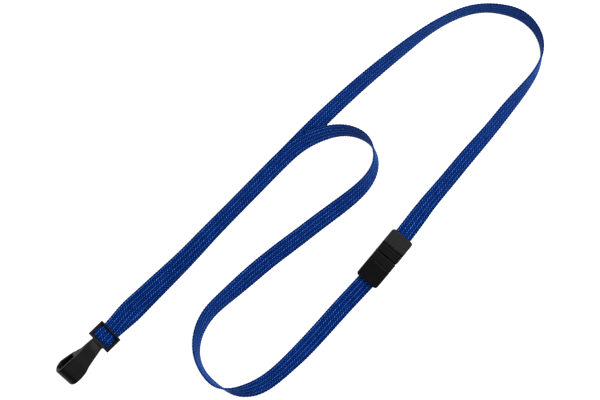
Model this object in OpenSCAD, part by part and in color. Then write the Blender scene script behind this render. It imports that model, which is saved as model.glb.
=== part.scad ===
// A flat-braid breakaway lanyard: a braided strap laid out in a loose loop, a wide hook on a
// three-bar slide at one end, and a two-piece breakaway clasp in the loop.
// The origin is on the table, midway between the hook and the clasp. +X runs from the hook along
// the doubled strap, and +Z is up.

/* [Strap] */
// Width of the flat braid
strap_w = 9.5; // [9:0.1:10]
// Thickness of the flat braid
strap_t = 1.2; // [0.8:0.1:1.3]

/* [Hook] */
// Width of the hook's blade
hook_w = 11.3; // [11:0.1:11.6]
// Clear depth of the hook's throat
throat_d = 6.5; // [6:0.1:7]
// Thickness of the blade and of the return arm
blade_t = 2; // [1.8:0.1:2.2]
// How far the hook lies rolled over on the table, in degrees
hook_roll = 22; // [18:1:24]
// Length of the hook from the slide's centre to its tip
hook_len = 29.9; // [29.6:0.1:31]

/* [Slide] */
// Outer width of the three-bar slide, across the strap
slide_w = 14.1; // [14:0.1:15]
// Outer length of the slide, along the strap
slide_l = 9.6; // [9.4:0.1:10]
// Width of the slide's window
window_w = 10.5; // [10.5:0.1:11]
// How far the slide tips up towards the hook, in degrees
slide_pitch = 10; // [8:1:12]
// Height of the slide's centre over the table
slide_z = 6; // [5.8:0.1:6.5]

/* [Clasp] */
// Length of the closed clasp
clasp_l = 30.6; // [30.2:0.1:31]
// Width of the clasp
clasp_w = 13.1; // [12.8:0.1:13.4]
// Thickness of the clasp
clasp_t = 6; // [6:0.1:6.4]
// Angle of the clasp on the table, in degrees
clasp_angle = 6.3; // [6:0.1:7]

/* [Hidden] */

$fn = 48;
eps = 0.01;
far = 50;

strap_colour = [0.04, 0.11, 0.33];
plastic_colour = [0.03, 0.03, 0.035];

hook_at = [-59, 36.5];
bend_outer_r = throat_d / 2 + blade_t;
bend_inner_r = throat_d / 2;
bend_x = -(hook_len - bend_outer_r);
hook_left = 5.35;
hook_right = hook_left - hook_w;
throat_z = -hook_right * sin(hook_roll) + bend_outer_r * cos(hook_roll);
slide_t = 2.6;
slide_x0 = -4.6;
fold_w = 10;

clasp_at = [58.5, -37.04];
seam = 16.3;
seam_gap = 0.2;
half_gap = 0.06;
socket_jaw_len = 11.2;
plug_jaw_len = 9.15;
strap_z = 2.4;

// ---------------------------------------------------------------- strap routes
// Each point is [x, y, roll, lift]. roll turns the braid about its own line: 0 lies flat, 90
// stands on edge, and 180 lies flat with its other face up. lift raises it off the table.
// Both routes run from the slide to the clasp.

flex_outer = [
    [-53.4, 36.2, 0, 2.55], [-46, 35.7, 0, 1.1], [-40, 35.4, 0, 0.35], [-35.2, 35.5, 0, 0.05]
];
flex_inner = [
    [-53.2, 36.8, 0, 3.85], [-46, 37.6, 0, 2.4], [-40, 38.1, 0, 1.65], [-35.2, 38, 0, 1.35]
];
route_outer = [
    [-35, 35.5, 0, 0.05], [-19, 36, 4, 0], [-2, 36.5, 10, 0], [17, 37.5, 20, 0],
    [36, 38, 27, 0], [55, 38.5, 27, 0], [74, 39, 30, 0], [91, 39.5, 33, 0],
    [108, 39.5, 36, 0], [125, 39, 41, 0], [141, 38, 46, 0], [157, 36.5, 53, 0],
    [171, 34.7, 61, 0], [184.2, 31.5, 65, 0], [194.2, 27.3, 66, 0], [202.4, 21.3, 67, 0],
    [208.1, 14.5, 65, 0], [212, 7, 65, 0], [213.1, -1, 72, 0], [211.2, -8.9, 81, 0],
    [206.9, -14.8, 92, 0], [200, -19, 106, 0], [190, -21.5, 120, 0], [176, -23.2, 134, 0]
];
route_release = [
    [175.7, -23.2, 134, 0], [160, -25.2, 140, 0], [142, -26.9, 148, 0], [124, -28.9, 152, 0],
    [109, -30.5, 160, 0.5], [98, -32.2, 172, 1.3], [88.5, -33.6, 180, 1.8], [82, -34.4, 180, 1.8]
];
route_inner = [
    [-35, 38, 0, 1.35], [-19, 37.5, 4, 1.35], [-2, 37, 10, 1.4], [17, 37.5, 20, 1.45],
    [36, 38, 27, 1.5], [55, 38.5, 27, 1.5], [71, 38.8, 29, 1.6], [84, 37.8, 33, 1.1],
    [94, 34.5, 41, 0.3], [103, 29, 51, 0], [108.5, 22, 62, 0], [110.2, 15.5, 76, 0],
    [109, 9.5, 95, 0], [105.5, 4.5, 109, 0], [99.5, 1, 124, 0], [91, -0.5, 139, 0],
    [80, 0, 150, 0], [64, 2, 156, 0], [47, 4, 160, 0], [30, 6, 161, 0],
    [14, 7.1, 159, 0], [0, 7.8, 145, 0], [-12, 7.6, 135, 0], [-22.5, 4.1, 121, 0],
    [-30.7, -2.8, 107, 0], [-35, -12.5, 99, 0], [-34.9, -21.5, 95, 0], [-29.6, -31.2, 56, 0],
    [-20.6, -37.3, 27, 0], [-6, -39.8, 22, 0], [10, -40, 8, 0], [28, -39, 4, 0],
    [44, -37.9, 0, 0.4], [53, -37.4, 0, 1.4], [59, -37, 0, 1.8], [65.5, -36.3, 0, 1.8]
];

// ---------------------------------------------------------------- flat cord sweep
function unit(v) = v / norm(v);
function width_dir(left, roll) = left * cos(roll) + [0, 0, sin(roll)];
function face_dir(left, roll) = [0, 0, cos(roll)] - left * sin(roll);
function centre(p) =
    [p[0], p[1], strap_w / 2 * abs(sin(p[2])) + strap_t / 2 * abs(cos(p[2])) + p[3]];

// The braid's cross-section: a flat bar with its long corners taken off
edge_in = 0.5;
section = [
    for (sx = [1, -1])
        each [
            [sx * (strap_w / 2 - edge_in), -sx * strap_t / 2],
            [sx * strap_w / 2, -sx * strap_t / 4],
            [sx * strap_w / 2, sx * strap_t / 4],
            [sx * (strap_w / 2 - edge_in), sx * strap_t / 2]
        ]
];
sides = len(section);

function heading(route, i) =
    let (a = route[max(i - 1, 0)], b = route[min(i + 1, len(route) - 1)])
    unit([b[0] - a[0], b[1] - a[1], 0]);
function ring(route, i) =
    let (h = heading(route, i), left = [-h[1], h[0], 0], roll = route[i][2])
    [for (s = section) centre(route[i]) + width_dir(left, roll) * s[0] + face_dir(left, roll) * s[1]];

module flat_cord(route) {
    rings = len(route);
    points = [for (i = [0:rings - 1]) each ring(route, i)];
    walls = [
        for (i = [0:rings - 2], k = [0:sides - 1])
            let (a = i * sides + k, b = i * sides + (k + 1) % sides)
            each [[a, b + sides, b], [a, a + sides, b + sides]]
    ];
    start_cap = [for (k = [0:sides - 1]) k];
    end_cap = [for (k = [sides - 1:-1:0]) (rings - 1) * sides + k];
    polyhedron(points, concat(walls, [start_cap, end_cap]), convexity = 10);
}

module strap_outer() {
    color(strap_colour) flat_cord(route_outer);
}

module strap_inner() {
    color(strap_colour) flat_cord(route_inner);
}

// The stretch that moves away with the plug when the clasp parts
module strap_release() {
    color(strap_colour) flat_cord(route_release);
}

// The two strands that bend where the slide turns on the strap
module strap_flex() {
    color(strap_colour) {
        flat_cord(flex_outer);
        flat_cord(flex_inner);
    }
}

// ---------------------------------------------------------------- slide and hook
module on_slide() {
    translate([hook_at[0], hook_at[1], slide_z]) rotate([0, slide_pitch, 0]) children();
}

module on_hook() {
    translate([hook_at[0], hook_at[1], throat_z]) rotate([hook_roll, 0, 0]) children();
}

// A plate drawn in the x-z plane and centred across the strap
module side_plate(width) {
    rotate([90, 0, 0]) linear_extrude(height = width, center = true) children();
}

module bar(x0, x1, z0, z1, width) {
    corner = 0.35;
    side_plate(width)
        union() {
            translate([x0, z0 + corner]) square([x1 - x0, z1 - z0 - 2 * corner]);
            translate([x0 + corner, z0]) square([x1 - x0 - 2 * corner, z1 - z0]);
            for (x = [x0 + corner, x1 - corner], z = [z0 + corner, z1 - corner])
                translate([x, z]) circle(corner);
        }
}

// The braid turns over the centre bar, down by the lower bar and back beneath it, pulled a little
// wider as it bends
fold_line = [
    [6, -0.55], [3.3, -0.55], [2, 0.1], [0.9, 1.1], [-0.6, 1.4], [-1.9, 1.15], [-2.75, 0.2],
    [-2.75, -0.8], [-2.1, -1.6], [-1, -1.85], [6, -1.85]
];
function line_normal(line, i) =
    let (
        a = line[max(i - 1, 0)],
        b = line[min(i + 1, len(line) - 1)],
        before = unit(line[max(i, 1)] - line[max(i, 1) - 1]),
        t = unit(b - a)
    )
    [-t[1], t[0]] / max(0.7, t * before);

module strap_fold() {
    n = len(fold_line);
    half = strap_t / 2;
    color(strap_colour)
        on_slide()
        side_plate(fold_w)
        polygon(concat(
            [for (i = [0:n - 1]) fold_line[i] + line_normal(fold_line, i) * half],
            [for (i = [n - 1:-1:0]) fold_line[i] - line_normal(fold_line, i) * half]
        ));
}

// The slide's outer frame, with its upper bar over the strap and its centre bar under it
module slide() {
    rim = (slide_w - window_w) / 2;
    bar_l = 1.2;
    upper_bar_z0 = 0.15;
    upper_bar_z1 = 1.5;
    centre_bar = [-2, 0.5, -1.1, 0.7];
    overlap = 0.4;
    on_slide() {
        for (side = [1, -1])
            translate([0, side * (slide_w - rim) / 2, 0])
                bar(slide_x0, slide_x0 + slide_l, -slide_t / 2, slide_t / 2, rim);
        bar(slide_x0 + slide_l - bar_l, slide_x0 + slide_l, upper_bar_z0, upper_bar_z1, slide_w);
        bar(centre_bar[0], centre_bar[1], centre_bar[2], centre_bar[3], window_w + overlap);
        bar(slide_x0, slide_x0 + bar_l, -slide_t / 2, slide_t / 2, slide_w);
    }
}

// The hook seen from its side: front blade, bend, return arm and the heel above the mouth
heel_x = -16.5;
neck_end_x = -10;
arm_end_x = -15.5;
mouth = 1.25;
module hook_side() {
    arm_in = -bend_inner_r;
    heel_z = arm_in + mouth;
    difference() {
        union() {
            translate([bend_x, 0]) circle(bend_outer_r);
            translate([bend_x, -bend_outer_r])
                square([arm_end_x - bend_x - blade_t / 2, 2 * bend_outer_r]);
            translate([arm_end_x - blade_t / 2, -bend_outer_r + blade_t / 2]) circle(blade_t / 2);
            polygon([
                [arm_end_x - blade_t, bend_outer_r], [neck_end_x, 3.7], [neck_end_x, 1.2],
                [-15, heel_z], [heel_x - 1, heel_z]
            ]);
        }
        translate([bend_x, 0]) circle(bend_inner_r);
        translate([bend_x, -bend_inner_r]) square([heel_x - 1.2 - bend_x, throat_d]);
        translate([heel_x - 1.2 - eps, arm_in]) square([3.6, mouth]);
    }
}

// The hook seen from its front: a narrow neck that fans out to a square-ended blade
module hook_front() {
    corner = 1.5;
    tip = -hook_len;
    polygon([
        [-9, 5.1], [-12, 4.6], [-17, 5], [-22, hook_left], [tip + corner, hook_left],
        [tip - 1, hook_left - corner], [tip - 1, hook_right + corner],
        [tip + corner, hook_right], [-21, -5.8], [-18, -5.1], [-16, -4.4], [-12, -3.9],
        [-9, -3.5]
    ]);
}

// The return arm narrows towards its end, on the side that shows past the neck
module arm_taper() {
    translate([0, 0, -far])
        linear_extrude(height = far - bend_inner_r + mouth / 2)
        polygon([[-24, 6], [-21, 5], [-19, 4.65], [-15, 3.6], [-10, 3.6], [-10, 9], [-24, 9]]);
}

module hook() {
    color(plastic_colour) {
        slide();
        on_hook() difference() {
            intersection() {
                side_plate(far) hook_side();
                translate([0, 0, -far / 2]) linear_extrude(height = far) hook_front();
            }
            arm_taper();
        }
        neck();
    }
}

// The neck turns from the flat slide to the rolled blade
module neck() {
    slab = 0.8;
    hull() {
        on_slide()
            translate([slide_x0, -3.6, -slide_t / 2 + 0.1]) cube([0.6, 7.2, slide_t - 0.2]);
        on_hook() translate([neck_end_x - slab, -3.6, 1.2]) cube([slab, 8.6, 2.5]);
    }
}

// ---------------------------------------------------------------- clasp
module on_clasp() {
    translate([clasp_at[0], clasp_at[1], 0]) rotate([0, 0, clasp_angle]) children();
}

// The plug half is drawn the same way round as the socket half and turned about
module far_half() {
    translate([clasp_l, 0, 0]) mirror([1, 0, 0]) children();
}

floor_z = 1.3;
body_rim_z = 3.5;
channel_w = 10;
hinge_z = 4.85;
hinge_in = 1.1;
hinge_r = clasp_t - hinge_z;
relief_r = 1.7;
function hinge(jaw_len) = [jaw_len - hinge_in, hinge_z];
pin_r = 0.52;
pin_hole_r = 0.6;
lug_y = [-3.4, 3.4];
lug_w = 1;
lug_r = 0.85;
lug_neck = 0.5;

module rounded_plan(length, width, corner) {
    union() {
        translate([corner, -width / 2]) square([length - corner, width]);
        translate([0, -width / 2 + corner]) square([length, width - 2 * corner]);
        for (side = [1, -1]) translate([corner, side * (width / 2 - corner)]) circle(corner);
    }
}

// The rebate round the block's end, half of the deep groove where the halves meet. A full-width
// foot is left under the side grooves.
module seam_rebate(block_end) {
    width = 0.35;
    top_depth = 0.8;
    side_depth = 0.4;
    foot = 0.8;
    translate([block_end - width, -far / 2, clasp_t - top_depth]) cube(far);
    for (side = [1, -1])
        translate([block_end - width, side * (clasp_w / 2 - side_depth) - (1 - side) / 2 * far, foot])
            cube(far);
}

// The lower shell of one half: the strap's channel with its ribs, and a solid block at the seam.
// The block's face is hollowed about the hinge, so the jaw's corner can swing past it.
module half_body(block_end, jaw_len) {
    corner = 1.6;
    wall = 1.2;
    rib_h = 0.45;
    rib_pitch = 1.6;
    ribs = floor(jaw_len / 3.3);
    intersection() {
        linear_extrude(height = clasp_t) rounded_plan(block_end, clasp_w, corner);
        union() {
            difference() {
                union() {
                    translate([0, -clasp_w / 2, 0])
                        cube([jaw_len + 2 * seam_gap, clasp_w, body_rim_z]);
                    translate([jaw_len + seam_gap, -clasp_w / 2, 0])
                        cube([block_end - jaw_len - seam_gap, clasp_w, clasp_t]);
                }
                translate([wall, -channel_w / 2, floor_z]) cube([jaw_len - wall, channel_w, far]);
                translate([-wall, -channel_w / 2, strap_z - strap_t / 2 - 0.1])
                    cube([3 * wall, channel_w, far]);
                side_plate(far) intersection() {
                    translate(hinge(jaw_len)) circle(relief_r);
                    translate([0, body_rim_z]) square([far, far]);
                }
                seam_rebate(block_end);
            }
            for (i = [0:ribs - 1])
                translate([2.4 + i * rib_pitch, 0, floor_z])
                    side_plate(channel_w)
                    polygon([[-0.5, -0.2], [0.5, -0.2], [0, rib_h]]);
            for (y = lug_y) lug(y, hinge(jaw_len));
        }
    }
}

// A small ear on the floor that holds the jaw's pin. Its neck is slim, so the jaw can stand upright.
module lug(y, at) {
    foot_z = floor_z - 0.2;
    translate([0, y, 0])
        side_plate(lug_w)
        difference() {
            union() {
                translate(at) circle(lug_r);
                translate([at[0] - lug_neck, foot_z])
                    square([2 * lug_neck, at[1] - foot_z]);
            }
            translate(at) circle(pin_hole_r);
        }
}

// The toothed jaw that closes on the strap's end, with its hinge barrel at the inner edge and a
// square lip over it that closes the gap to the block
module jaw(jaw_len) {
    corner = 1.6;
    end_t = 1.3;
    underside = 3.65;
    tooth_h = 0.55;
    tooth_pitch = 1.6;
    slot_w = lug_w + 0.4;
    slot_room = 0.1;
    teeth = floor(jaw_len / 3.3);
    at = hinge(jaw_len);
    intersection() {
        linear_extrude(height = clasp_t) rounded_plan(jaw_len + 1, clasp_w, corner);
        union() {
            difference() {
                side_plate(clasp_w) union() {
                    polygon([
                        [0, underside], [0, underside + end_t], [at[0], clasp_t],
                        [at[0], underside]
                    ]);
                    translate(at) circle(hinge_r);
                    translate(at) square([hinge_in, hinge_r]);
                }
                for (y = lug_y)
                    translate([0, y, 0])
                        side_plate(slot_w)
                        union() {
                            translate(at) circle(lug_r + slot_room);
                            translate([at[0] - lug_r - slot_room, 0]) square([2 * lug_r, at[1]]);
                            translate([at[0], 0])
                                square([2 * hinge_r, at[1] + lug_neck + slot_room]);
                        }
            }
            for (y = lug_y)
                translate([0, y, 0]) side_plate(slot_w + 0.6) translate(at) circle(pin_r);
            for (i = [0:teeth - 1])
                translate([3.2 + i * tooth_pitch, 0, underside])
                    side_plate(channel_w - 0.6)
                    polygon([[-0.6, 0.2], [0.6, 0.2], [0, -tooth_h]]);
        }
    }
}

tongue_len = 3.7;
socket_len = 4;
socket_w = 9.2;
socket_h = [1.4, 4.6];
sill_in = 0.5;
sill_h = 0.8;
running = 0.15;

module clasp_socket() {
    color(plastic_colour)
        on_clasp()
        difference() {
            half_body(seam, socket_jaw_len);
            translate([seam - socket_len, -socket_w / 2, socket_h[0]])
                cube([far, socket_w, socket_h[1] - socket_h[0]]);
            for (side = [1, -1])
                translate([seam - 3.1, side * socket_w / 2, socket_h[0]])
                    cylinder(r = 0.45, h = socket_h[1] - socket_h[0]);
            translate([seam - sill_in - running, -far / 2, sill_h + running - far]) cube(far);
        }
}

// The plug carries a middle tongue and two springy prongs with small bumps that click home, all
// rooted on a low web. A thin sill under the seam laps beneath the socket.
module clasp_plug() {
    block_end = clasp_l - seam - half_gap;
    prong_w = 1.7;
    height = socket_h[1] - socket_h[0] - 2 * running;
    root = 0.6;
    web_l = 0.8;
    web_h = 0.7;
    color(plastic_colour)
        on_clasp()
        union() {
            far_half() half_body(block_end, plug_jaw_len);
            translate([seam - sill_in, -clasp_w / 2, 0]) cube([sill_in + root, clasp_w, sill_h]);
            translate([seam - tongue_len, 0, socket_h[0] + running]) {
                translate([0, -1.4, 0]) cube([tongue_len + root, 2.8, height]);
                translate([tongue_len - web_l, running - socket_w / 2, 0])
                    cube([web_l + root, socket_w - 2 * running, web_h]);
                for (side = [1, -1]) {
                    y_out = side * (socket_w / 2 - running);
                    translate([0, min(y_out, y_out - side * prong_w), 0])
                        cube([tongue_len + root, prong_w, height]);
                    translate([tongue_len - 3.1, y_out - side * 0.33, 0])
                        cylinder(r = 0.45, h = height);
                }
            }
        }
}

module socket_jaw() {
    color(plastic_colour) on_clasp() jaw(socket_jaw_len);
}

module plug_jaw() {
    color(plastic_colour) on_clasp() far_half() jaw(plug_jaw_len);
}

hook();
clasp_socket();
clasp_plug();
socket_jaw();
plug_jaw();
strap_fold();
strap_flex();
strap_outer();
strap_release();
strap_inner();
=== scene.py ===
"""A braided breakaway lanyard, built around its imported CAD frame. Metres, +Z up, table at z = 0."""

import math

import bmesh
import bpy
import numpy as np
from mathutils import Matrix, Vector


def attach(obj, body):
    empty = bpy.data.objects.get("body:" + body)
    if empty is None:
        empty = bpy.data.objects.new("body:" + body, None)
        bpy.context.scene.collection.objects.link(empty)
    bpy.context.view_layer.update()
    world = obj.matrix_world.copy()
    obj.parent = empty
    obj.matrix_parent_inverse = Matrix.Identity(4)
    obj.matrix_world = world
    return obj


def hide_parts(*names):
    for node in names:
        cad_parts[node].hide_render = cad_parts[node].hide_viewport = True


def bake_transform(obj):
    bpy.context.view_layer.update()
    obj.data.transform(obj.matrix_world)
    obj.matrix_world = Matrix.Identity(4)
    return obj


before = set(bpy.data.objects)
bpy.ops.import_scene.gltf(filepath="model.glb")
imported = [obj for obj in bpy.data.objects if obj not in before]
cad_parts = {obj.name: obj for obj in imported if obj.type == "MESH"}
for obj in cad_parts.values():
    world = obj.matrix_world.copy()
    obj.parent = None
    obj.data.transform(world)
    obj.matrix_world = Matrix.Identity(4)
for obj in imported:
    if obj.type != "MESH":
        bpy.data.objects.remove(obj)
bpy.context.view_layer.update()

MM = 0.001
scene = bpy.context.scene


# ------------------------------------------------------------------ camera
VIEW_CENTRE = (0.0632, 0.01715)
VIEW_WIDTH = 0.312
VIEW_TURN = math.radians(-44)
LENS = 100.0
SENSOR = 36.0
MID_HEIGHT = 0.003
CLIP_NEAR = 0.01
CLIP_FAR = 10.0


def make_camera():
    data = bpy.data.cameras.new("camera")
    data.lens = LENS
    data.sensor_width = SENSOR
    data.clip_start = CLIP_NEAR
    data.clip_end = CLIP_FAR
    camera = bpy.data.objects.new("camera", data)
    scene.collection.objects.link(camera)
    camera.location = (*VIEW_CENTRE, VIEW_WIDTH * LENS / SENSOR + MID_HEIGHT)
    camera.rotation_euler = (0.0, 0.0, VIEW_TURN)
    scene.camera = camera


make_camera()


# ------------------------------------------------------------------ the strap's routes
# The CAD routes in metres: x, y, roll in degrees, lift off the table. Both run from slide to clasp.
STRAP_W = 0.0095
STRAP_T = 0.0012
FLEX_OUTER = [
    (-0.0534, 0.0362, 0, 0.00255), (-0.046, 0.0357, 0, 0.0011), (-0.04, 0.0354, 0, 0.00035),
]
FLEX_INNER = [
    (-0.0532, 0.0368, 0, 0.00385), (-0.046, 0.0376, 0, 0.0024), (-0.04, 0.0381, 0, 0.00165),
]
ROUTE_OUTER = [
    (-0.035, 0.0355, 0, 0.00005), (-0.019, 0.036, 4, 0), (-0.002, 0.0365, 10, 0), (0.017, 0.0375, 20, 0),
    (0.036, 0.038, 27, 0), (0.055, 0.0385, 27, 0), (0.074, 0.039, 30, 0), (0.091, 0.0395, 33, 0),
    (0.108, 0.0395, 36, 0), (0.125, 0.039, 41, 0), (0.141, 0.038, 46, 0), (0.157, 0.0365, 53, 0),
    (0.171, 0.0347, 61, 0), (0.1842, 0.0315, 65, 0), (0.1942, 0.0273, 66, 0), (0.2024, 0.0213, 67, 0),
    (0.2081, 0.0145, 65, 0), (0.212, 0.007, 65, 0), (0.2131, -0.001, 72, 0), (0.2112, -0.0089, 81, 0),
    (0.2069, -0.0148, 92, 0), (0.2, -0.019, 106, 0), (0.19, -0.0215, 120, 0), (0.176, -0.0232, 134, 0),
]
ROUTE_RELEASE = [
    (0.16, -0.0252, 140, 0), (0.142, -0.0269, 148, 0), (0.124, -0.0289, 152, 0),
    (0.109, -0.0305, 160, 0.0005), (0.098, -0.0322, 172, 0.0013), (0.0885, -0.0336, 180, 0.0018),
    (0.082, -0.0344, 180, 0.0018),
]
ROUTE_INNER = [
    (-0.035, 0.038, 0, 0.00135), (-0.019, 0.0375, 4, 0.00135), (-0.002, 0.037, 10, 0.0014),
    (0.017, 0.0375, 20, 0.00145), (0.036, 0.038, 27, 0.0015), (0.055, 0.0385, 27, 0.0015),
    (0.071, 0.0388, 29, 0.0016), (0.084, 0.0378, 33, 0.0011), (0.094, 0.0345, 41, 0.0003),
    (0.103, 0.029, 51, 0), (0.1085, 0.022, 62, 0), (0.1102, 0.0155, 76, 0), (0.109, 0.0095, 95, 0),
    (0.1055, 0.0045, 109, 0), (0.0995, 0.001, 124, 0), (0.091, -0.0005, 139, 0), (0.08, 0, 150, 0),
    (0.064, 0.002, 156, 0), (0.047, 0.004, 160, 0), (0.03, 0.006, 161, 0), (0.014, 0.0071, 159, 0),
    (0, 0.0078, 145, 0), (-0.012, 0.0076, 135, 0), (-0.0225, 0.0041, 121, 0), (-0.0307, -0.0028, 107, 0),
    (-0.035, -0.0125, 99, 0), (-0.0349, -0.0215, 95, 0), (-0.0296, -0.0312, 56, 0),
    (-0.0206, -0.0373, 27, 0), (-0.006, -0.0398, 22, 0), (0.01, -0.04, 8, 0), (0.028, -0.039, 4, 0),
    (0.044, -0.0379, 0, 0.0004), (0.053, -0.0374, 0, 0.0014), (0.059, -0.037, 0, 0.0018),
    (0.0655, -0.0363, 0, 0.0018),
]
# The turn of the strap over the slide's centre bar: x and z in the slide's own tipped frame
FOLD_LINE = [
    (0.0033, -0.00055), (0.002, 0.0001), (0.0009, 0.0011), (-0.0006, 0.0014), (-0.0019, 0.00115),
    (-0.00275, 0.0002), (-0.00275, -0.0008), (-0.0021, -0.0016), (-0.001, -0.00185), (0.003, -0.00185),
]
SLIDE_AT = Vector((-0.059, 0.0365, 0.006))
SLIDE_PITCH = math.radians(10)
FOLD_SKEW = 0.0003
# Where the strap's pieces meet, and how far along the strap from its end or the slide to look for it
SEAM_SLIDE_X = -0.035
SLIDE_REACH = 0.06
SEAM_RELEASE_X = 0.1757
RELEASE_REACH = 0.15
STEP = 0.0001
ROUTE_SAMPLES = 6000
FOLD_SAMPLES = 600
LEAST_LIFT = 0.00003
# Samples averaged to ease the joins between the routes
EASE = 13


def cubic(points, at):
    """A natural cubic spline through the rows of points, which are spaced by their distance in x and y."""
    points = np.array(points, float)
    gaps = np.linalg.norm(np.diff(points[:, :2], axis=0), axis=1)
    knots = np.concatenate([[0], np.cumsum(gaps)])
    n = len(points)
    matrix, right = np.zeros((n, n)), np.zeros_like(points)
    matrix[0, 0] = matrix[-1, -1] = 1
    for i in range(1, n - 1):
        a, b = gaps[i - 1], gaps[i]
        matrix[i, i - 1 : i + 2] = a, 2 * (a + b), b
        right[i] = 6 * ((points[i + 1] - points[i]) / b - (points[i] - points[i - 1]) / a)
    curve = np.linalg.solve(matrix, right)
    s = np.linspace(0, knots[-1], at)
    i = np.clip(np.searchsorted(knots, s, side="right") - 1, 0, n - 2)
    g, t = gaps[i][:, None], (s - knots[i])[:, None]
    u = g - t
    return (
        curve[i] * u**3 / (6 * g) + curve[i + 1] * t**3 / (6 * g)
        + (points[i] / g - curve[i] * g / 6) * u + (points[i + 1] / g - curve[i + 1] * g / 6) * t
    )


def table_strand(rows):
    """Centre points and width directions along a strand that lies on the table."""
    line = cubic(rows, ROUTE_SAMPLES)
    roll = np.radians(line[:, 2])
    lift = np.maximum(line[:, 3], LEAST_LIFT)
    heading = np.gradient(line[:, :2], axis=0)
    heading /= np.linalg.norm(heading, axis=1)[:, None]
    z = STRAP_W / 2 * abs(np.sin(roll)) + STRAP_T / 2 * abs(np.cos(roll)) + lift
    centre = np.column_stack([line[:, :2], z])
    width = np.column_stack([-heading[:, 1] * np.cos(roll), heading[:, 0] * np.cos(roll), np.sin(roll)])
    return centre, width


def fold_strand():
    """Centre points and width directions of the turn over the slide's centre bar."""
    line = cubic(FOLD_LINE, FOLD_SAMPLES)
    skew = np.linspace(FOLD_SKEW, -FOLD_SKEW, len(line))
    c, s = math.cos(SLIDE_PITCH), math.sin(SLIDE_PITCH)
    centre = np.column_stack([
        SLIDE_AT.x + c * line[:, 0] + s * line[:, 1],
        SLIDE_AT.y + skew,
        SLIDE_AT.z - s * line[:, 0] + c * line[:, 1],
    ])
    return centre, np.tile([0.0, 1.0, 0.0], (len(line), 1))


def whole_strap():
    """The strap's line from the socket, round the slide and on to the plug, at even steps."""
    inner, inner_w = table_strand(FLEX_INNER + ROUTE_INNER)
    outer, outer_w = table_strand(FLEX_OUTER + ROUTE_OUTER + ROUTE_RELEASE)
    fold, fold_w = fold_strand()
    centre = np.concatenate([inner[::-1], fold, outer])
    width = np.concatenate([inner_w[::-1], fold_w, outer_w])
    along = np.concatenate([[0], np.cumsum(np.linalg.norm(np.diff(centre, axis=0), axis=1))])
    at = np.arange(0, along[-1], STEP)
    centre = np.stack([np.interp(at, along, centre[:, k]) for k in range(3)], 1)
    width = np.stack([np.interp(at, along, width[:, k]) for k in range(3)], 1)
    soft = np.hanning(EASE)
    soft /= soft.sum()
    edge = EASE // 2
    for k in range(3):
        centre[edge:-edge, k] = np.convolve(centre[:, k], soft, "valid")
        width[edge:-edge, k] = np.convolve(width[:, k], soft, "valid")
    tangent = np.gradient(centre, axis=0)
    tangent /= np.linalg.norm(tangent, axis=1)[:, None]
    face = np.cross(tangent, width)
    face /= np.linalg.norm(face, axis=1)[:, None]
    width = np.cross(face, tangent)
    slide = len(inner) + len(fold) // 2
    return at, centre, width, face, float(along[slide])


# ------------------------------------------------------------------ the braid
# A flat tubular braid: yarns pass over two and under two, so their floats stand in columns that
# slant to and fro. Every float is a small pillow of mesh.
COLUMNS = 18
PITCH = 0.00152
ACROSS = 4
ALONG = 4
KNUCKLE = 0.00027
BRAID_W = 0.0098
FOLD_SPREAD = 0.08
CORE_R = STRAP_T / 2 - KNUCKLE
CORE_FLAT = BRAID_W / 2 - KNUCKLE - CORE_R
SLACK = 0.82
CROWN_POWER = 1.4
ARCH = (0.0, 0.84, 1.0, 0.84)
GROOVE = 0.06
LOOSENESS = 0.06
# The edges wander a little along the strap, and the braid spreads where the slide holds it
SWAY = 0.00006
SWAY_KNOTS = 90
SPREAD_REACH = 0.0085
# Sets each column's threads apart from its neighbours' in the yarn map
COLUMN_SHIFT = 3.7
SEED = 7


def section(u):
    """Place and outward normal on the flat core at distance u round it, from the middle of one edge."""
    quarter = math.pi * CORE_R / 2
    flat = 2 * CORE_FLAT
    rim = 4 * quarter + 2 * flat
    u = np.mod(u, rim)
    under = u > rim / 2
    v = np.where(under, rim - u, u)
    a = np.where(v < quarter, -CORE_FLAT - CORE_R * np.cos(v / CORE_R), 0.0)
    na = np.where(v < quarter, -np.cos(v / CORE_R), 0.0)
    nb = np.where(v < quarter, np.sin(v / CORE_R), 1.0)
    far = v > quarter + flat
    w = v - quarter - flat
    a = np.where(far, CORE_FLAT + CORE_R * np.sin(w / CORE_R), a)
    na = np.where(far, np.sin(w / CORE_R), na)
    nb = np.where(far, np.cos(w / CORE_R), nb)
    a = np.where((v >= quarter) & ~far, -CORE_FLAT + v - quarter, a)
    b = CORE_R * nb
    side = np.where(under, -1.0, 1.0)
    return a, b * side, na, nb * side


def rim_length():
    """The distance round the flat core."""
    return 2 * math.pi * CORE_R + 4 * CORE_FLAT


AT, CENTRE, WIDTH, FACE, SLIDE_S = whole_strap()
LENGTH = float(AT[-1])
ROUND = COLUMNS * ACROSS
ROWS = int(LENGTH / PITCH) * ALONG - ALONG - 1


def lookup(table, v):
    """The rows of a table of the strap's line at arc lengths v."""
    return np.stack([np.interp(v, AT, table[:, k]) for k in range(3)], -1)


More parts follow.
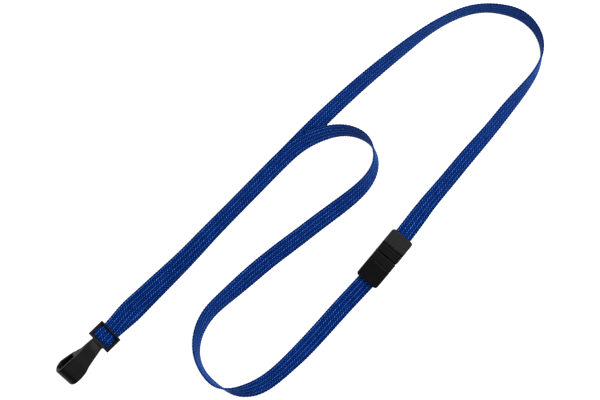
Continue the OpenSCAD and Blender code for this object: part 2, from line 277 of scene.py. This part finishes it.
def braid_points():
    """Every point of the whole strap's braid, as rows of rings, with its height and arc length."""
    i, j = np.meshgrid(np.arange(ROUND), np.arange(ROWS))
    column, place = i // ACROSS, (i % ACROSS) / ACROSS
    rises = column % 2 == 0
    zigzag = np.where(rises, place, 1 - place) * PITCH
    v = j * PITCH / ALONG + zigzag
    u = (i / ACROSS - 0.5) * rim_length() / COLUMNS
    yarn = ((j + np.where(rises, 0, ALONG // 2)) % ALONG) / ALONG
    crown = np.sin(math.pi * yarn) ** CROWN_POWER
    arch = np.array(ARCH)[i % ACROSS]
    height = np.where(i % ACROSS == 0, GROOVE, crown * arch)
    random = np.random.default_rng(SEED)
    looseness = random.normal(1.0, LOOSENESS, (ROWS // ALONG + 2, COLUMNS))
    height = height * looseness[j // ALONG, column] * np.where(rises, 1.0, SLACK)
    knots = np.linspace(0, LENGTH, SWAY_KNOTS)
    sway = np.interp(v, knots, random.normal(0, SWAY, SWAY_KNOTS))
    spread = 1 + FOLD_SPREAD * np.exp(-(((v - SLIDE_S) / SPREAD_REACH) ** 4))
    a, b, na, nb = section(u)
    a = a * spread * (1 + sway / STRAP_W) + na * KNUCKLE * height
    b = b + nb * KNUCKLE * height
    points = lookup(CENTRE, v) + a[..., None] * lookup(WIDTH, v) + b[..., None] * lookup(FACE, v)
    return points, height


BRAID, HEIGHT = braid_points()


def row_of(s):
    """The row of rings, in a groove, nearest to arc length s."""
    return int(round(s / PITCH)) * ALONG


def arc_where(x, low, high):
    """The arc length between low and high at which the strap's line passes x."""
    inside = np.nonzero((AT >= low) & (AT <= high))[0]
    return float(AT[inside[np.abs(CENTRE[inside, 0] - x).argmin()]])


def make_braid(name, first, last):
    """One piece of the strap: the rings from row first to row last, closed at both ends."""
    points = BRAID[first : last + 1].reshape(-1, 3)
    height = HEIGHT[first : last + 1].reshape(-1)
    rows = last - first + 1
    j, i = np.meshgrid(np.arange(rows - 1), np.arange(ROUND), indexing="ij")
    k = (i + 1) % ROUND
    walls = np.stack([j * ROUND + i, j * ROUND + k, (j + 1) * ROUND + k, (j + 1) * ROUND + i], -1)
    faces = walls.reshape(-1, 4).tolist()
    for base, turn in ((0, 1), ((rows - 1) * ROUND, -1)):
        ring = [base + (ACROSS // 2 + n) % ROUND for n in range(ROUND)]
        for n in range(ROUND // 2):
            quad = [ring[n], ring[(n + 1) % ROUND], ring[(-n - 1) % ROUND], ring[(-n) % ROUND]]
            quad = list(dict.fromkeys(quad))
            if len(quad) > 2:
                faces.append(quad[:: -turn])
    mesh = bpy.data.meshes.new(name)
    mesh.from_pydata(points.tolist(), [], faces)
    mesh.validate(clean_customdata=False)
    mesh.attributes.new("crest", "FLOAT", "POINT").data.foreach_set("value", height.astype(np.float32))
    add_yarn_map(mesh, first, rows)
    mesh.shade_smooth()
    piece = bpy.data.objects.new(name, mesh)
    scene.collection.objects.link(piece)
    return piece


def add_yarn_map(mesh, first, rows):
    """A map along and across each yarn, in units of the braid's pitch, and for each float a random tone
    with a painted highlight that lifts one slant of floats.
    """
    count = (rows - 1) * ROUND
    j, i = np.meshgrid(np.arange(rows - 1) + first, np.arange(ROUND), indexing="ij")
    column, place = i // ACROSS, i % ACROSS
    shift = np.where(column % 2 == 0, 0, ALONG // 2)
    corners = np.array([(0, 0), (1, 0), (1, 1), (0, 1)])
    yarn_map = np.zeros((len(mesh.loops), 2), np.float32)
    x = (place[..., None] + corners[:, 0]) / ACROSS + column[..., None] * COLUMN_SHIFT
    y = (j[..., None] + shift[..., None] + corners[:, 1]) / ALONG
    yarn_map[: count * 4, 0] = x.reshape(-1)
    yarn_map[: count * 4, 1] = y.reshape(-1)
    layer = mesh.uv_layers.new(name="yarn")
    layer.data.foreach_set("uv", yarn_map.reshape(-1))
    tones = np.random.default_rng(SEED + 1).random((ROWS // ALONG + 3, COLUMNS))
    float_tone_and_sheen = np.full(len(mesh.polygons), 0.5, np.float32)
    # Painted highlight: the even columns' floats, slanting one way, get the upper half of the tone and the
    # odd columns' the lower half; within each half the tone is random
    slant_sheen_and_tone = np.where(column % 2 == 0, 0.5, 0.0)
    float_tone_and_sheen[:count] = (slant_sheen_and_tone + 0.5 * tones[(j + shift) // ALONG, column]).reshape(-1)
    mesh.attributes.new("float_tone_and_sheen", "FLOAT", "FACE").data.foreach_set("value", float_tone_and_sheen)


def make_strap():
    """The strap's four pieces, which meet ring to ring; the inner and outer pieces go on the strap's body.
    """
    inner_seam = row_of(arc_where(SEAM_SLIDE_X, SLIDE_S - SLIDE_REACH, SLIDE_S))
    outer_seam = row_of(arc_where(SEAM_SLIDE_X, SLIDE_S, SLIDE_S + SLIDE_REACH))
    release_seam = row_of(arc_where(SEAM_RELEASE_X, LENGTH - RELEASE_REACH, LENGTH))
    inner = make_braid("strap_inner_braid", 0, inner_seam)
    fold = make_braid("strap_fold_braid", inner_seam, outer_seam)
    outer = make_braid("strap_outer_braid", outer_seam, release_seam)
    release = make_braid("strap_release_braid", release_seam, ROWS - 1)
    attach(inner, "strap")
    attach(outer, "strap")
    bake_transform(fold)
    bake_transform(release)
    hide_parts("strap_inner")
    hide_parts("strap_outer")
    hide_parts("strap_release")
    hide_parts("strap_fold", "strap_flex")
    return inner, fold, outer, release


strap = make_strap()


# ------------------------------------------------------------------ node material helpers
class Nodes:
    """A material's node tree with short calls."""

    def __init__(self, name):
        self.material = bpy.data.materials.new(name)
        self.material.use_nodes = True
        self.tree = self.material.node_tree
        self.shader = next(n for n in self.tree.nodes if n.type == "BSDF_PRINCIPLED")

    def add(self, kind, **values):
        node = self.tree.nodes.new(kind)
        for key, value in values.items():
            setattr(node, key, value)
        return node

    def link(self, out, into):
        self.tree.links.new(out, into)
        return into

    def attribute(self, name):
        return self.add("ShaderNodeAttribute", attribute_name=name).outputs["Fac"]

    def math(self, operation, a, b=0.0):
        node = self.add("ShaderNodeMath", operation=operation)
        for socket, value in zip(node.inputs, (a, b)):
            if isinstance(value, (int, float)):
                socket.default_value = value
            else:
                self.link(value, socket)
        return node.outputs[0]

    def noise(self, vector, scale, detail=2.0, roughness=0.5):
        node = self.add("ShaderNodeTexNoise")
        node.inputs["Scale"].default_value = scale
        node.inputs["Detail"].default_value = detail
        node.inputs["Roughness"].default_value = roughness
        self.link(vector, node.inputs["Vector"])
        return node.outputs["Fac"]

    def stretched(self, vector, scale):
        node = self.add("ShaderNodeMapping")
        node.inputs["Scale"].default_value = scale
        self.link(vector, node.inputs["Vector"])
        return node.outputs["Vector"]

    def ramp(self, factor, *stops):
        node = self.add("ShaderNodeValToRGB")
        ramp = node.color_ramp
        while len(ramp.elements) < len(stops):
            ramp.elements.new(0.5)
        for element, (place, colour) in zip(ramp.elements, stops):
            element.position, element.color = place, (*colour, 1.0)
        self.link(factor, node.inputs["Fac"])
        return node.outputs["Color"]

    def mix(self, factor, a, b, blend="MIX"):
        node = self.add("ShaderNodeMix", data_type="RGBA", blend_type=blend)
        for index, value in ((0, factor), (6, a), (7, b)):
            if isinstance(value, (int, float)):
                node.inputs[index].default_value = value
            elif isinstance(value, tuple):
                node.inputs[index].default_value = (*value, 1.0)
            else:
                self.link(value, node.inputs[index])
        return node.outputs[2]

    def bump(self, height, distance, strength=1.0):
        node = self.add("ShaderNodeBump")
        node.inputs["Strength"].default_value = strength
        node.inputs["Distance"].default_value = distance
        self.link(height, node.inputs["Height"])
        self.link(node.outputs["Normal"], self.shader.inputs["Normal"])

    def set(self, **values):
        for key, value in values.items():
            self.shader.inputs[key.replace("_", " ")].default_value = value

    def between(self, factor, low, high, into):
        node = self.add("ShaderNodeMapRange")
        node.inputs["To Min"].default_value = low
        node.inputs["To Max"].default_value = high
        self.link(factor, node.inputs["Value"])
        self.link(node.outputs["Result"], self.shader.inputs[into])


def braid_material():
    """Dull blue polyester with fine filaments along each yarn, painted shade deep blue in the gaps between
    the floats, and painted highlight on the crests and on one slant of floats.
    """
    n = Nodes("blue_braid")
    yarn = n.add("ShaderNodeUVMap", uv_map="yarn").outputs["UV"]
    crest, float_tone_and_sheen = n.attribute("crest"), n.attribute("float_tone_and_sheen")
    place = n.add("ShaderNodeTexCoord").outputs["Object"]
    filament = n.noise(n.stretched(yarn, (1.6, 11.0, 1.0)), 1.0, 3.0, 0.6)
    blotch = n.noise(place, 60.0, 2.0)
    # Painted shade and highlight: the colour runs from near black in the grooves between floats, where
    # shade falls, to pale blue at their crests
    base = n.ramp(
        crest, (0.0, (0.0, 0.0005, 0.012)), (0.3, (0.0006, 0.0066, 0.07)),
        (0.65, (0.0033, 0.04, 0.245)), (1.0, (0.034, 0.12, 0.52)),
    )
    # Painted highlight by slant: floats of one slant are multiplied lighter and the other slant darker,
    # with a random tone within each
    slant_sheen_and_tone = n.ramp(
        float_tone_and_sheen, (0.0, (0.55, 0.66, 0.72)), (0.45, (0.8, 0.88, 0.9)),
        (0.55, (1.15, 1.05, 1.05)), (1.0, (2.0, 1.5, 1.35)),
    )
    painted_light_and_tone = n.mix(1.0, base, slant_sheen_and_tone, "MULTIPLY")
    threads = n.ramp(filament, (0.3, (0.6, 0.62, 0.68)), (0.7, (1.3, 1.25, 1.18)))
    coloured = n.mix(0.8, painted_light_and_tone, threads, "MULTIPLY")
    wide = n.ramp(blotch, (0.3, (0.86, 0.88, 0.9)), (0.7, (1.1, 1.1, 1.08)))
    n.link(n.mix(1.0, coloured, wide, "MULTIPLY"), n.shader.inputs["Base Color"])
    n.between(filament, 0.42, 0.6, "Roughness")
    n.set(Specular_IOR_Level=0.05, Specular_Tint=(0.12, 0.45, 1.0, 1.0))
    n.set(Sheen_Weight=0.45, Sheen_Roughness=0.45, Sheen_Tint=(0.1, 0.35, 1.0, 1.0))
    n.bump(filament, 0.00006, 0.6)
    return n.material


def plastic_material(name, colour, low, high, grain):
    """Moulded plastic: a fine grained skin, faint flow marks and slightly uneven gloss."""
    n = Nodes(name)
    place = n.add("ShaderNodeTexCoord").outputs["Object"]
    fine = n.noise(place, 9000.0, 2.0)
    flow = n.noise(n.stretched(place, (1.0, 3.0, 1.0)), 140.0, 4.0, 0.55)
    wear = n.noise(place, 900.0, 4.0, 0.65)
    dark = tuple(c * 0.75 for c in colour)
    light = tuple(c * 1.5 + 0.001 for c in colour)
    base = n.ramp(flow, (0.3, dark), (0.55, colour), (0.75, light))
    n.link(n.mix(n.math("MULTIPLY", wear, 0.25), base, light), n.shader.inputs["Base Color"])
    gloss = n.math("ADD", n.math("MULTIPLY", wear, 0.6), n.math("MULTIPLY", flow, 0.4))
    n.between(gloss, low, high, "Roughness")
    n.set(Specular_IOR_Level=0.085)
    n.bump(n.math("ADD", fine, n.math("MULTIPLY", wear, 0.6)), grain, 0.5)
    return n.material


HOOK_BLACK = (0.002, 0.002, 0.0021)
HOOK_GRAIN = 0.00001
CLASP_BLACK = (0.0018, 0.0018, 0.0019)
CLASP_GRAIN = 0.000006
BRAID_SKIN = braid_material()
HOOK_SKIN = plastic_material("black_hook_plastic", HOOK_BLACK, 0.36, 0.5, HOOK_GRAIN)
CLASP_SKIN = plastic_material("black_clasp_plastic", CLASP_BLACK, 0.28, 0.42, CLASP_GRAIN)
for piece in strap:
    piece.data.materials.append(BRAID_SKIN)


# ------------------------------------------------------------------ moulded parts
# The grain of each skin's remesh, and how many rounds of smoothing round its edges
HOOK_VOXEL = 0.00015
HOOK_ROUNDS = 7
CLASP_VOXEL = 0.00011
CLASP_ROUNDS = 4
MERGE = 1e-6


def link_mesh(name, bm):
    mesh = bpy.data.meshes.new(name)
    bm.to_mesh(mesh)
    bm.free()
    piece = bpy.data.objects.new(name, mesh)
    scene.collection.objects.link(piece)
    return piece


def apply_modifiers(piece):
    evaluated = piece.evaluated_get(bpy.context.evaluated_depsgraph_get())
    mesh = bpy.data.meshes.new_from_object(evaluated)
    piece.modifiers.clear()
    piece.data = mesh


def mould(piece, voxel, rounds, skin):
    """Melts the piece's shapes into one skin with softly rounded edges, as a moulding has."""
    remesh = piece.modifiers.new("skin", "REMESH")
    remesh.mode = "VOXEL"
    remesh.voxel_size = voxel
    remesh.adaptivity = 0.0
    apply_modifiers(piece)
    smooth = piece.modifiers.new("soften", "SMOOTH")
    smooth.factor = 0.5
    smooth.iterations = rounds
    apply_modifiers(piece)
    piece.data.shade_smooth()
    piece.data.materials.clear()
    piece.data.materials.append(skin)
    return piece


def rounded_box(bm, low, high, radius, matrix):
    """A box with rounded edges, added to bm through matrix."""
    made = bmesh.ops.create_cube(bm, size=1.0)
    low, high = Vector(low), Vector(high)
    for vert in made["verts"]:
        vert.co = Vector(((low[k] + high[k]) / 2 + vert.co[k] * (high[k] - low[k]) for k in range(3)))
    edges = list({e for v in made["verts"] for e in v.link_edges})
    bevelled = bmesh.ops.bevel(
        bm, geom=edges, offset=radius, offset_type="OFFSET", segments=3, profile=0.5, affect="EDGES",
    )
    verts = {v for f in bevelled["faces"] for v in f.verts} | {v for v in made["verts"] if v.is_valid}
    for face in bm.faces:
        if all(v in verts for v in face.verts):
            verts.update(face.verts)
    bmesh.ops.transform(bm, matrix=matrix, verts=list(verts))


HOOK_ROLL = math.radians(22)
THROAT_Z = 0.0070966
ON_HOOK = Matrix.Translation((SLIDE_AT.x, SLIDE_AT.y, THROAT_Z)) @ Matrix.Rotation(HOOK_ROLL, 4, "X")
ON_SLIDE = Matrix.Translation(SLIDE_AT) @ Matrix.Rotation(SLIDE_PITCH, 4, "Y")

# The neck and the blade's front in the hook's frame, from the slide towards the tip, in mm: x, top z,
# bottom z, left side, right side, and the roll that brings the neck level with the slide
NECK = [
    (-3.9, 1.2, -1.1, 3.6, -3.6, -22),
    (-5.4, 1.5, -0.9, 3.95, -3.4, -20),
    (-7.2, 2.3, -0.4, 4.3, -3.45, -14.5),
    (-9.0, 3.1, 0.4, 4.7, -3.5, -8),
    (-10.8, 3.75, 0.6, 4.9, -3.65, -3),
    (-12.6, 4.3, -0.4, 4.8, -3.9, -0.8),
    (-14.4, 4.75, -1.7, 4.85, -4.15, 0),
    (-16.0, 5.05, -2.0, 4.95, -4.4, 0),
    (-17.3, 5.2, -2.0, 5.05, -4.85, 0),
    (-17.7, 5.23, -1.8, 5.1, -5.0, 0),
]
BLADE = [
    (-17.75, 5.24, 3.2, 5.1, -5.05, 0),
    (-19.3, 5.25, 3.25, 5.2, -5.5, 0),
    (-21.0, 5.25, 3.25, 5.3, -5.8, 0),
    (-23.0, 5.25, 3.25, 5.35, -5.95, 0),
]
BEND_X = -24.65
BEND_R = 4.25
BLADE_T = 2.0
BLADE_LEFT = 5.35
BLADE_RIGHT = -5.95
ARM_LEFT = 5.6
# The return arm, from the bend to its end: x, left side and thickness as a share
ARM = [
    (-23.0, 5.35, 1.0), (-21.0, 5.0, 1.0), (-19.0, 4.65, 0.97), (-17.5, 4.3, 0.92), (-16.4, 4.0, 0.84),
    (-15.8, 3.75, 0.62), (-15.55, 3.45, 0.34),
]
# Below this thickness the arm's right side is drawn in too
ARM_TAPER = 0.9
# The tip's end, the length over which its sides are drawn in, and by how much
TIP_X = -29.9
TIP_PULL = 2.4
TIP_IN = 0.4
NECK_RINGS = 48
BEND_RINGS = 32
CORNER = 0.55


def rounded_rectangle(top, bottom, left, right, radius, steps=4):
    """Corner points, in order round a rectangle with rounded corners, as (y, z)."""
    radius = min(radius, (top - bottom) / 2.2)
    points = []
    for y, z, start in (
        (left - radius, top - radius, 0), (right + radius, top - radius, 90),
        (right + radius, bottom + radius, 180), (left - radius, bottom + radius, 270),
    ):
        for k in range(steps + 1):
            angle = math.radians(start + 90 * k / steps)
            points.append((y + radius * math.cos(angle), z + radius * math.sin(angle)))
    return points


def eased(rows, count):
    """The rows joined by a smooth curve through each of their values, at count even places in x."""
    rows = np.array(rows, float)
    slopes = np.gradient(rows, rows[:, 0], axis=0)
    x = np.linspace(rows[0, 0], rows[-1, 0], count)
    i = np.clip(np.searchsorted(-rows[:, 0], -x, side="right") - 1, 0, len(rows) - 2)
    gap = (rows[i + 1, 0] - rows[i, 0])[:, None]
    t = ((x - rows[i, 0])[:, None]) / gap
    return (
        rows[i] * (1 + 2 * t) * (1 - t) ** 2 + rows[i + 1] * t**2 * (3 - 2 * t)
        + slopes[i] * gap * t * (1 - t) ** 2 + slopes[i + 1] * gap * t**2 * (t - 1)
    )


def hook_rings():
    """The hook's cross-sections in its own frame, in mm, from the slide round to the arm's end."""
    rings = []
    for x, top, bottom, left, right, roll in [*eased(NECK, NECK_RINGS), *BLADE]:
        c, s = math.cos(math.radians(roll)), math.sin(math.radians(roll))
        mid = (top + bottom) / 2
        ring = rounded_rectangle(top - mid, bottom - mid, left, right, CORNER)
        rings.append([(x, y * c - z * s, y * s + z * c + mid) for y, z in ring])
    for k in range(BEND_RINGS + 1):
        turn = math.pi * k / BEND_RINGS
        x_mid = BEND_X - BEND_R * math.sin(turn)
        pull = max(0.0, (TIP_X + TIP_PULL - (BEND_X - (BEND_R + 1) * math.sin(turn))) / TIP_PULL)
        tuck = TIP_IN * pull**2
        left = BLADE_LEFT + (ARM_LEFT - BLADE_LEFT) * k / BEND_RINGS
        ring = rounded_rectangle(BLADE_T / 2, -BLADE_T / 2, left - tuck, BLADE_RIGHT + tuck, CORNER)
        rings.append([
            (x_mid - z * math.sin(turn), y, (BEND_R + z) * math.cos(turn)) for y, z in ring
        ])
    for x, left, thin in ARM:
        right = BLADE_RIGHT + max(0.0, ARM_TAPER - thin)
        ring = rounded_rectangle(BLADE_T / 2 * thin, -BLADE_T / 2 * thin, left, right, CORNER)
        rings.append([(x, y, -BEND_R - z) for y, z in ring])
    return rings


def add_hook_blade(bm):
    """The hook's neck, blade and return arm, skinned over their cross-sections."""
    rings = hook_rings()
    made = [[bm.verts.new(ON_HOOK @ (Vector(p) * MM)) for p in ring] for ring in rings]
    count = len(rings[0])
    for a, b in zip(made, made[1:]):
        for k in range(count):
            bm.faces.new((a[k], a[(k + 1) % count], b[(k + 1) % count], b[k]))
    bm.faces.new(list(reversed(made[0])))
    bm.faces.new(made[-1])


def add_slide(bm):
    """The slide's frame: two rims, the upper, centre and lower bars, and a ledge in the window, in mm."""
    half_w = 7.05
    half_t = 1.3
    x0 = -4.6
    x1 = 5.0
    rim = 1.8
    bar = 1.2
    ledge = 0.5
    ledge_top = -0.6
    rounding = 0.3
    boxes = [
        ((x0, half_w - rim, -half_t), (x1, half_w, half_t)),
        ((x0, -half_w, -half_t), (x1, -half_w + rim, half_t)),
        ((x1 - bar, -half_w, 0.15), (x1, half_w, 1.5)),
        ((-2.0, -half_w + rim / 2, -1.1), (0.5, half_w - rim / 2, 0.7)),
        ((x0, -half_w, -half_t), (x0 + bar, half_w, half_t)),
        ((x0, half_w - rim - ledge, -half_t), (x1, half_w - rim + ledge, ledge_top)),
        ((x0, -half_w + rim - ledge, -half_t), (x1, -half_w + rim + ledge, ledge_top)),
        ((x0, -half_w + rim, -half_t), (x0 + bar + ledge, half_w - rim, ledge_top)),
    ]
    for low, high in boxes:
        rounded_box(bm, Vector(low) * MM, Vector(high) * MM, rounding * MM, ON_SLIDE)


def make_hook():
    bm = bmesh.new()
    add_slide(bm)
    add_hook_blade(bm)
    bmesh.ops.recalc_face_normals(bm, faces=bm.faces)
    hook = mould(link_mesh("hook_moulding", bm), HOOK_VOXEL, HOOK_ROUNDS, HOOK_SKIN)
    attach(hook, "hook")
    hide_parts("hook")
    return hook


def make_moulding(node, name, body):
    """A moulded piece in the shape of a CAD node, with its edges softened."""
    bm = bmesh.new()
    bm.from_mesh(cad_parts[node].data)
    bmesh.ops.remove_doubles(bm, verts=bm.verts, dist=MERGE)
    bmesh.ops.recalc_face_normals(bm, faces=bm.faces)
    piece = mould(link_mesh(name, bm), CLASP_VOXEL, CLASP_ROUNDS, CLASP_SKIN)
    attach(piece, body)
    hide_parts(node)
    return piece


make_hook()
make_moulding("clasp_socket", "clasp_socket_moulding", "strap")
make_moulding("clasp_plug", "clasp_plug_moulding", "plug")
make_moulding("socket_jaw", "socket_jaw_moulding", "socket_jaw")
make_moulding("plug_jaw", "plug_jaw_moulding", "plug_jaw")


# ------------------------------------------------------------------ floor and light
FLOOR_HALF = 4.0
FLOOR_CELLS = 8
WORLD_STRENGTH = 0.22
# Name, place, diameter and watts of each lamp
LIGHTS = (
    ("key", (0.85, 0.05, 1.05), 0.9, 22.0),
    ("fill", (0.05, -0.8, 1.1), 1.0, 8.0),
    ("back", (0.1, 0.8, 1.2), 1.0, 1.5),
)


def make_floor():
    bm = bmesh.new()
    bmesh.ops.create_grid(bm, x_segments=FLOOR_CELLS, y_segments=FLOOR_CELLS, size=FLOOR_HALF)
    floor = link_mesh("floor", bm)
    floor.location = (*VIEW_CENTRE, 0.0)
    n = Nodes("pale_floor")
    place = n.add("ShaderNodeTexCoord").outputs["Object"]
    tint = n.ramp(n.noise(place, 3.0, 2.0), (0.4, (0.3, 0.3, 0.3)), (0.6, (0.32, 0.32, 0.32)))
    n.link(tint, n.shader.inputs["Base Color"])
    n.set(Roughness=0.9, Specular_IOR_Level=0.1)
    n.set(Emission_Color=(1.0, 1.0, 1.0, 1.0), Emission_Strength=0.95)
    floor.data.materials.append(n.material)


def make_light(name, place, size, power):
    data = bpy.data.lights.new(name, "AREA")
    data.shape = "DISK"
    data.size = size
    data.energy = power
    light = bpy.data.objects.new(name, data)
    scene.collection.objects.link(light)
    light.location = place
    aim = Vector((*VIEW_CENTRE, 0.0)) - Vector(place)
    light.rotation_mode = "QUATERNION"
    light.rotation_quaternion = aim.to_track_quat("-Z", "Y")


def make_world(strength):
    world = bpy.data.worlds.new("studio")
    world.use_nodes = True
    background = world.node_tree.nodes["Background"]
    background.inputs["Color"].default_value = (1.0, 1.0, 1.0, 1.0)
    background.inputs["Strength"].default_value = strength
    scene.world = world


make_floor()
make_world(WORLD_STRENGTH)
for light in LIGHTS:
    make_light(*light)
scene.view_settings.view_transform = "Standard"
scene.view_settings.look = "None"
